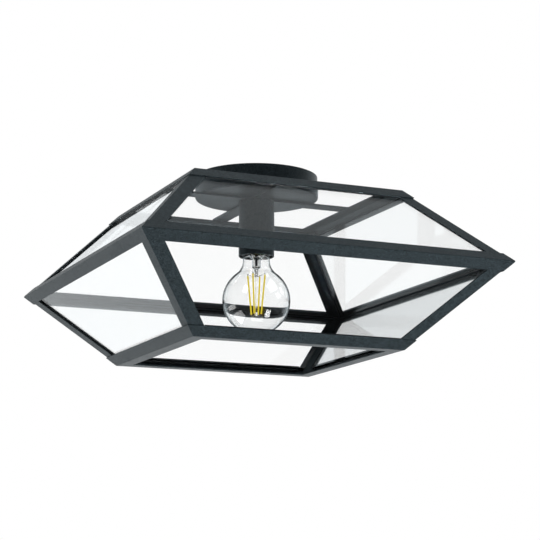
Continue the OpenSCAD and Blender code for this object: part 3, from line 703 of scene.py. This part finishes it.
@dataclass
class Canopy:
    """The round canopy, what fixes it to the ceiling, and the wiring inside it."""

    side_screw: ScrewShape = field(default_factory=ScrewShape)
    earth_screw: ScrewShape = field(default_factory=lambda: ScrewShape(shank_l=2.0 * MM))

    def dress(self) -> None:
        """Finishes for the canopy, straps, bracket, seal, wires and terminal block."""
        dressed({
            "powder_coat": ["canopy", "canopy_screws", "long_strap", "left_strap", "right_strap"],
            "zinc_steel": ["ceiling_bracket"],
            "rubber_seal": ["canopy_seal"],
            "brass": ["earth_screw", "terminal_screws", "threaded_nipple", "nipple_nut"],
            "terminal_plastic": ["terminal_block"],
            "brown_insulation": ["live_wire"],
            "blue_insulation": ["neutral_wire"],
            "earth_insulation": ["earth_wire"]})

    def build(self) -> None:
        """The screws, with their recesses and threads."""
        low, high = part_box("canopy_screws")
        z = (low.z + high.z) / 2
        wall = high.y - self.side_screw.head_h
        shape = Surface()
        for side in (-1.0, 1.0):
            shape.grid(self.side_screw.placed((0.0, side * wall, z), (0.0, side, 0.0)))
        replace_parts(shape.piece("canopy_side_screws", "powder_coat", Body.LANTERN),
                    "canopy_screws")
        low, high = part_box("earth_screw")
        centre = (low + high) / 2
        shape = Surface()
        shape.grid(self.earth_screw.placed((centre.x, centre.y, low.z + self.earth_screw.head_h),
                                           (0.0, 0.0, -1.0)))
        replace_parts(shape.piece("earth_clamp_screw", "brass", Body.LANTERN), "earth_screw")


@dataclass
class Lampholder:
    """The sleeved lampholder with its contacts."""

    def dress(self) -> None:
        """Finishes for the sleeve, the moulded parts and the contacts."""
        dressed({
            "powder_coat": ["sleeve"],
            "black_thermoset": ["lampholder_cap", "lampholder_skirt", "lampholder_collar"],
            "porcelain": ["contact_base"],
            "brass_shell": ["screw_shell"],
            "brass": ["live_contact", "neutral_contact"]})


@dataclass
class Bulb:
    """The clear globe bulb: envelope, stem, filaments, wires and cap. Sizes in metres.

    The shoulder, throat, button and root are heights above the filaments' top: where
    the stem's tube ends, where it is drawn thin, where its glass gathers to a drop and
    where the wires leave it.
    """

    stem_r: float = 5.0 * MM
    stem_wall: float = 0.8 * MM
    tube_r: float = 1.6 * MM
    tube_wall: float = 0.45 * MM
    shoulder: float = 9.0 * MM
    throat: float = 5.0 * MM
    throat_r: float = 2.1 * MM
    button: float = 0.8 * MM
    button_r: float = 2.0 * MM
    root: float = -1.6 * MM
    rod_r: float = 1.3 * MM
    bead_r: float = 1.95 * MM
    lead_r: float = 0.28 * MM
    tab_l: float = 2.4 * MM
    tab_w: float = 0.65 * MM
    tab_flat: float = 0.3
    wall: float = 0.8 * MM
    neck_r: float = 15.8 * MM
    blend_r: float = 20.0 * MM
    mouth_r: float = 12.8 * MM
    in_cap: float = 3.0 * MM
    taper: float = 3.5 * MM
    globe_sides: int = 160
    stem_sides: int = 64
    tube_sides: int = 32
    wire_sides: int = 12
    tab_sides: int = 16

    def __post_init__(self) -> None:
        """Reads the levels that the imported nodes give."""
        low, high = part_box("filaments")
        self.fil_bottom, self.fil_top = low.z, high.z
        stem_low, stem_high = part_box("bulb_stem")
        self.stem_end, self.stem_head = stem_low.z, stem_high.z
        self.flare_r = stem_high.x

    def dress(self) -> None:
        """Finishes for the glass, the cap and the filaments."""
        dressed({
            "bulb_glass": ["bulb_envelope"], "stem_glass": ["bulb_stem"],
            "nickel_plate": ["bulb_cap"], "black_glass": ["cap_insulator"],
            "solder": ["centre_contact"], "circuit_board": ["led_driver"],
            "phosphor": ["filaments"], "support_wire": ["filament_supports"]})

    def outline(self, inset: float, steps: int = 56) -> np.ndarray:
        """Half of the globe's outline, drawn in by the inset, from its pole to its mouth.

        An arc about the globe's middle meets a hollow arc about a point beside the neck
        on the line between the two middles; then come the neck, its taper and its mouth.
        Returns points (r, z), with as many steps on the globe's arc as given.
        """
        low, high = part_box("bulb_envelope")
        radius = high.x
        middle = low.z + radius
        beside = self.neck_r + self.blend_r
        rise = math.sqrt((radius + self.blend_r) ** 2 - beside ** 2)
        meet = math.atan2(rise, beside)
        arc = np.linspace(-np.pi / 2, meet, steps)
        hollow = np.linspace(meet + np.pi, np.pi, steps // 2)[1:]
        globe = (radius - inset) * np.stack([np.cos(arc), np.sin(arc)], axis=-1)
        blend = (self.blend_r + inset) * np.stack([np.cos(hollow), np.sin(hollow)], axis=-1)
        globe[0, 0] = 0.0
        rim = high.z - self.in_cap
        ends = np.array([[self.neck_r - inset, rim - self.taper], [self.mouth_r - inset, rim],
                         [self.mouth_r - inset, high.z]])
        return np.concatenate([globe + [0.0, middle], blend + [beside, middle + rise], ends])

    def build_envelope(self) -> None:
        """The blown globe: its outline outside, and the same drawn in by the wall inside."""
        made = Surface()
        walls = np.concatenate([self.outline(0.0), self.outline(self.wall)[::-1]])
        made.grid(turned(walls, self.globe_sides))
        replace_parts(made.piece("glass_envelope", "bulb_glass", Body.BULB), "bulb_envelope")

    def build_stem(self) -> None:
        """The hollow stem: flare, tube, throat, button, rod and bead, and the tube inside.

        The profile goes from the hollow's closed end up its inside, over the flare's rim
        and down the outside to the rod's end. The thin exhaust tube stands in the hollow.
        """
        top, base = self.stem_head, self.fil_top
        inner = self.stem_r - self.stem_wall
        flare = top - 6.0 * MM
        shoulder, throat, button = base + self.shoulder, base + self.throat, base + self.button
        hollow = np.array([
            [0.0, shoulder - MM], [0.6 * inner, shoulder - 0.6 * MM], [inner, shoulder + MM],
            [inner, flare], [0.62 * self.flare_r, top - 3.2 * MM],
            [self.flare_r - self.stem_wall, top]])
        outside = np.array([
            [self.flare_r - 0.05 * MM, top], [self.flare_r, top - 0.6 * MM],
            [0.72 * self.flare_r, top - 3.6 * MM], [self.stem_r + 0.4 * MM, flare - 0.6 * MM],
            [self.stem_r, flare - 2 * MM], [self.stem_r, shoulder],
            [0.86 * self.stem_r, shoulder - 1.4 * MM],
            [self.throat_r + 0.3 * MM, throat + 0.8 * MM],
            [self.throat_r, throat - 0.8 * MM], [0.8 * self.button_r, button + 1.9 * MM],
            [self.button_r, button], [0.8 * self.button_r, button - 1.5 * MM],
            [self.rod_r, button - 3 * MM]])
        rod = np.array([
            [self.rod_r, self.fil_bottom + 4 * MM], [self.rod_r * 1.05, self.fil_bottom + 2 * MM],
            [self.bead_r, self.fil_bottom + 0.2 * MM],
            [self.bead_r * 0.8, self.stem_end + 0.7 * MM],
            [0.45 * self.bead_r, self.stem_end + 0.1 * MM], [0.0, self.stem_end]])
        profile = np.concatenate([smooth_line(line, 5) for line in (hollow, outside, rod)])
        profile[:, 0] = np.clip(profile[:, 0], 0.0, None)
        bore = self.tube_r - self.tube_wall
        low, high = shoulder + 0.2 * MM, top - MM
        pipe = np.array([[bore, low], [self.tube_r, low], [self.tube_r, high], [bore, high]])
        shape = Surface()
        shape.grid(turned(profile, self.stem_sides))
        shape.grid(turned(pipe, self.tube_sides), closed_rows=True)
        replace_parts(shape.piece("glass_stem", "stem_glass", Body.BULB), "bulb_stem")

    def filament_line(self, quarter: int) -> tuple[np.ndarray, np.ndarray]:
        """The lower and upper end of one filament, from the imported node's own points."""
        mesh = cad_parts["filaments"].data
        points = np.empty(len(mesh.vertices) * 3, dtype=np.float32)
        mesh.vertices.foreach_get("co", points)
        points = points.reshape(-1, 3).astype(float)
        turn = np.arctan2(points[:, 1], points[:, 0])
        mine = points[(np.floor(turn / (np.pi / 2)).astype(int) % 4) == quarter]
        middle = (self.fil_bottom + self.fil_top) / 2
        return mine[mine[:, 2] < middle].mean(axis=0), mine[mine[:, 2] > middle].mean(axis=0)

    def build_wires(self) -> None:
        """Tabs at the filaments' ends, wires that carry them and leads through the stem.

        An upper wire leaves the button, sags a little and meets its tab. A lower wire
        leaves the bead the same way. The two leads run from the cap through the hollow
        stem and its throat into the button.
        """
        wires, tabs = Surface(), Surface()
        root_z = self.fil_top + self.root
        for quarter in range(4):
            low, high = self.filament_line(quarter)
            axis = (high - low) / np.linalg.norm(high - low)
            out = np.array([high[0], high[1], 0.0])
            out /= np.linalg.norm(out)
            for end, way in ((high, 1.0), (low, -1.0)):
                inner, outer = end - way * axis * 0.4 * MM, end + way * axis * self.tab_l
                tabs.grid(tube(np.linspace(inner, outer, 6), self.tab_w, self.tab_sides,
                               self.tab_flat))
            tip = high + axis * (self.tab_l - 0.4 * MM)
            root = out * 0.6 * self.rod_r + [0.0, 0.0, root_z]
            bend = 0.5 * (root + tip) + [0.0, 0.0, -0.9 * MM]
            wires.grid(tube(smooth_line([root, bend, tip], 10), self.lead_r, self.wire_sides))
            tip = low - axis * (self.tab_l * 0.5)
            root = out * (self.bead_r - 0.5 * MM) + [0.0, 0.0, self.fil_bottom - 0.3 * MM]
            bend = 0.5 * (root + tip) + [0.0, 0.0, -0.5 * MM]
            wires.grid(tube(smooth_line([root, bend, tip], 10), self.lead_r, self.wire_sides))
        for side in (-1.0, 1.0):
            line = [[side * 0.5 * self.throat_r, 0.0, root_z + 0.5 * MM],
                    [side * 0.55 * self.throat_r, 0.0, self.fil_top + self.throat],
                    [side * 0.6 * self.stem_r, 0.0, self.fil_top + self.shoulder],
                    [side * 0.6 * self.stem_r, 0.0, self.stem_head - 8 * MM],
                    [side * 0.7 * self.stem_r, 0.0, self.stem_head - 1.5 * MM]]
            wires.grid(tube(smooth_line(line, 8), self.lead_r, self.wire_sides))
        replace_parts(wires.piece("filament_wires", "support_wire", Body.BULB),
                    "filament_supports")
        tabs.piece("filament_tabs", "support_wire", Body.BULB)


# ----------------------------------------------------------- studio and camera


@dataclass(frozen=True)
class Softbox:
    """A studio light that lights surfaces only. Sizes in metres, power in watts."""

    name: str
    towards: Vec3
    distance: float
    width: float
    height: float
    power: float

    def place(self, centre: np.ndarray) -> None:
        """Makes the light and turns it to the centre point."""
        lamp = bpy.data.lights.new(self.name, "AREA")
        lamp.shape = "RECTANGLE"
        lamp.size, lamp.size_y, lamp.energy = self.width, self.height, self.power
        made = in_scene(self.name, lamp)
        away = np.asarray(self.towards) / np.linalg.norm(self.towards)
        made.location = tuple(centre + away * self.distance)
        made.rotation_mode = "QUATERNION"
        made.rotation_quaternion = Vector(away).to_track_quat("Z", "Y")
        made.visible_camera = made.visible_transmission = made.visible_glossy = False


@dataclass(frozen=True)
class Window:
    """A bright pane of the studio that is only seen as a mirror image behind glass.

    Sizes are in metres, and slant moves its top along by a share of its height.
    """

    name: str
    towards: Vec3
    width: float
    height: float
    level: float
    slant: float = 0.0
    distance: float = 1.4

    def place(self, centre: np.ndarray) -> None:
        """Makes the pane, square to the centre point, with a glow for mirrored rays alone.

        Its corners lie half the width along and half the height up from its middle, and
        the top ones are moved along by the slant.
        """
        ahead = Vector(self.towards).normalized()
        across = Vector((0.0, 0.0, 1.0)).cross(ahead).normalized()
        axes = np.array([across, ahead.cross(across)])
        flat = np.array([[-1, -1], [1, -1], [1, 1], [-1, 1]]) * [self.width / 2, self.height / 2]
        flat[:, 0] += self.slant * flat[:, 1]
        corners = centre + np.array(ahead) * self.distance + flat @ axes
        mesh = bpy.data.meshes.new(self.name)
        mesh.from_pydata(corners.tolist(), [], [(0, 1, 2, 3)])
        made = in_scene(self.name, mesh)
        glow, g = new_material(self.name)
        path = g.add("LightPath").outputs
        mirrored = g.maths("MULTIPLY", g.above(path["Glossy Depth"]),
                           g.maths("LESS_THAN", path["Diffuse Depth"], HALF_BOUNCE))
        gate = g.maths("MULTIPLY", g.above(path["Transmission Depth"]), mirrored)
        clear = g.add("BsdfTransparent")
        light = g.add("Emission", {"Strength": self.level})
        g.add("OutputMaterial", {
            "Surface": g.add("MixShader", {0: gate, 1: clear, 2: light})})
        mesh.materials.append(glow)
        made.visible_camera = made.visible_diffuse = made.visible_shadow = False


@dataclass
class Studio:
    """Floor, backdrop, lights and camera."""

    centre: Vec3 = (0.0, 0.0, -0.124)
    floor_z: float = -2.4
    floor_r: float = 4.0
    floor_rings: int = 24
    floor_sides: int = 96
    floor_seen: Vec3 = (0.88, 0.88, 0.88)
    floor_unseen: Vec3 = (0.08, 0.08, 0.08)
    eye: Vec3 = (-0.7645, -1.77974, -0.48969)
    aim: Vec3 = (0.39507, 0.89842, 0.19175)
    lens: float = 111.46
    forward: tuple[float, float] = (0.4026, 0.9154)
    tint: Vec3 = (0.85, 0.95, 1.0)
    open_tint: Vec3 = (0.96, 0.988, 1.0)
    diffuse_share: float = 0.35
    mirror_share: float = 0.9
    high_cap: float = 0.45
    pane_gain: float = 1.036
    pane_faces: float = 6.0
    stops: tuple[tuple[float, float], ...] = (
        (0.0, 0.06), (0.25, 0.14), (0.5, 0.30), (0.675, 0.38), (0.81, 0.76), (0.925, 1.0),
        (1.0, 1.05))
    windows: tuple[Window, ...] = (
        Window("window_right", (0.37, -0.585, -0.721), 0.42, 0.58, 25.0, -0.3),
        Window("window_left", (-0.669, 0.287, -0.685), 1.1, 0.7, 3.2, 0.3),
        Window("window_far_left", (-0.785, 0.55, -0.285), 1.1, 0.4, 3.4),
        Window("window_under", (-0.072, -0.254, -0.965), 0.84, 0.42, 2.2),
    )
    lights: tuple[Softbox, ...] = (
        Softbox("softbox_above", (-0.15, -0.42, 0.9), 1.9, 1.2, 1.2, 11.0),
        Softbox("softbox_below", (0.0, -0.42, -0.9), 1.9, 0.9, 0.9, 10.0),
        Softbox("softbox_front", (0.30, -0.83, -0.47), 1.2, 0.7, 0.5, 9.0),
        Softbox("softbox_left", (-0.85, -0.10, -0.40), 1.5, 0.8, 0.8, 7.0),
    )

    def build(self) -> None:
        """Builds the stage in order."""
        self.floor()
        self.world()
        for made in (*self.lights, *self.windows):
            made.place(np.asarray(self.centre))
        self.camera()

    def open_sight(self, g: Graph) -> bpy.types.NodeSocket:
        """1 on a ray from the camera, straight or through clear glass, and 0 on others."""
        path = g.add("LightPath").outputs
        first = g.maths("ADD", path["Diffuse Depth"], path["Glossy Depth"])
        through = g.maths("MULTIPLY", path["Is Transmission Ray"],
                          g.maths("LESS_THAN", first, HALF_BOUNCE))
        return g.maths("MAXIMUM", path["Is Camera Ray"], through)

    def clear_white(self, g: Graph) -> bpy.types.NodeSocket:
        """White in plain sight, and as much more through panes as their faces mirror away."""
        path = g.add("LightPath").outputs
        faces = g.maths("MINIMUM", path["Transmission Depth"], self.pane_faces)
        return g.maths("POWER", self.pane_gain, faces)

    def floor(self) -> None:
        """A round pale floor, far below, that fades into the backdrop at its rim.

        Its rings lie closer together near the middle.
        """
        count, sides = self.floor_rings, self.floor_sides
        share = np.linspace(0.0, 1.0, count) ** 1.5
        profile = np.stack([share * self.floor_r, np.full(count, self.floor_z)], axis=-1)
        rings = turned(profile, sides)
        index = np.arange(count * sides).reshape(count, sides)
        right = np.roll(index, -1, axis=1)
        quads = np.stack([index[:-1], index[1:], right[1:], right[:-1]], axis=-1).reshape(-1, 4)
        mesh = bpy.data.meshes.new("studio_floor")
        mesh.from_pydata(rings.reshape(-1, 3).tolist(), [], quads.tolist())
        made = in_scene("studio_floor", mesh)
        surface, g = new_material("studio_floor")
        sight = self.open_sight(g)
        shader = g.add("BsdfPrincipled", {
            "Base Color": g.blend(sight, rgba(self.floor_unseen), rgba(self.floor_seen)),
            "Roughness": 0.9, "Specular IOR Level": 0.1})
        place = g.place()
        flat = g.add("VectorMath", {0: place, 1: (1.0, 1.0, 0.0)}, operation="MULTIPLY")
        far = g.add("VectorMath", {0: flat.outputs[0]}, operation="LENGTH")
        rim = g.remap(far.outputs["Value"], self.floor_r * 0.45, self.floor_r, 0.7, 1.0,
                      smooth=True)
        white = g.add("Emission", {"Color": WHITE,
                                             "Strength": self.clear_white(g)})
        mixed = g.add("MixShader", {0: g.maths("MULTIPLY", rim, sight), 1: shader,
                                              2: white})
        g.add("OutputMaterial", {"Surface": mixed})
        mesh.materials.append(surface)

    def world(self) -> None:
        """The studio round the lantern, told by direction, with a white backdrop in view.

        The light rises from the side behind the camera to the far side by the stops, and
        is capped high up. The open sight sees white. What comes in through glass after a
        bounce is weaker, most of all for dull surfaces.
        """
        world = bpy.data.worlds.new("studio")
        bpy.context.scene.world = world
        world.use_nodes = True
        g = Graph(world.node_tree)
        way = g.add("TexCoord").outputs["Generated"]
        ahead = g.add("VectorMath", {0: way, 1: (*self.forward, 0.0)},
                      operation="DOT_PRODUCT")
        ramp = g.add("ValToRGB",
                     {0: g.remap(ahead.outputs["Value"], -1.0, 1.0, 0.0, 1.0)})
        stops = ramp.color_ramp.elements
        stops[0].position, stops[0].color = self.stops[0][0], rgba([self.stops[0][1]] * 3)
        stops[1].position, stops[1].color = self.stops[-1][0], rgba([self.stops[-1][1]] * 3)
        for place, value in self.stops[1:-1]:
            stops.new(place).color = rgba([value] * 3)
        path = g.add("LightPath").outputs
        dull = g.above(path["Diffuse Depth"])
        mirrored = g.maths("MULTIPLY", g.above(path["Glossy Depth"]),
                           g.maths("SUBTRACT", 1.0, dull))
        behind = path["Is Transmission Ray"]
        level = g.maths("SUBTRACT", 1.0, g.maths("ADD", g.maths(
            "MULTIPLY", g.maths("MULTIPLY", behind, dull), 1 - self.diffuse_share), g.maths(
            "MULTIPLY", g.maths("MULTIPLY", behind, mirrored), 1 - self.mirror_share)))
        up = g.add("SeparateXYZ", {0: way}).outputs["Z"]
        cap = g.remap(up, 0.33, 0.42, self.stops[-1][1], self.high_cap, smooth=True)
        glow = g.maths("MULTIPLY", g.maths("MINIMUM", ramp.outputs[0], cap), level)
        within = g.above(g.maths("ADD", path["Transmission Depth"], path["Diffuse Depth"]))
        colour = g.blend(within, rgba(self.open_tint), rgba(self.tint))
        studio = g.add("Background", {"Color": colour, "Strength": glow})
        white = g.add("Background", {"Color": WHITE,
                                               "Strength": self.clear_white(g)})
        mixed = g.add("MixShader", {0: self.open_sight(g), 1: studio, 2: white})
        g.add("OutputWorld", {"Surface": mixed})

    def camera(self) -> None:
        """A long lens, a little below the lantern and looking slightly up."""
        data = bpy.data.cameras.new("camera")
        data.sensor_width, data.lens = 36.0, self.lens
        made = in_scene("camera", data)
        made.location = self.eye
        made.rotation_mode = "QUATERNION"
        made.rotation_quaternion = Vector(self.aim).to_track_quat("-Z", "Y")
        bpy.context.scene.camera = made


def main() -> None:
    """Builds the lantern's looks and the studio, in order."""
    logging.basicConfig(level=logging.INFO, format="%(name)s: %(message)s")
    bpy.context.scene.view_settings.view_transform = "Standard"
    for build in (grain_group, streak_group, smudge_group):
        build()
    Cage().dress()
    canopy = Canopy()
    canopy.dress()
    canopy.build()
    Lampholder().dress()
    bulb = Bulb()
    bulb.dress()
    bulb.build_envelope()
    bulb.build_stem()
    bulb.build_wires()
    Studio().build()


FINISHES = finishes()

if __name__ == "__main__":
    main()
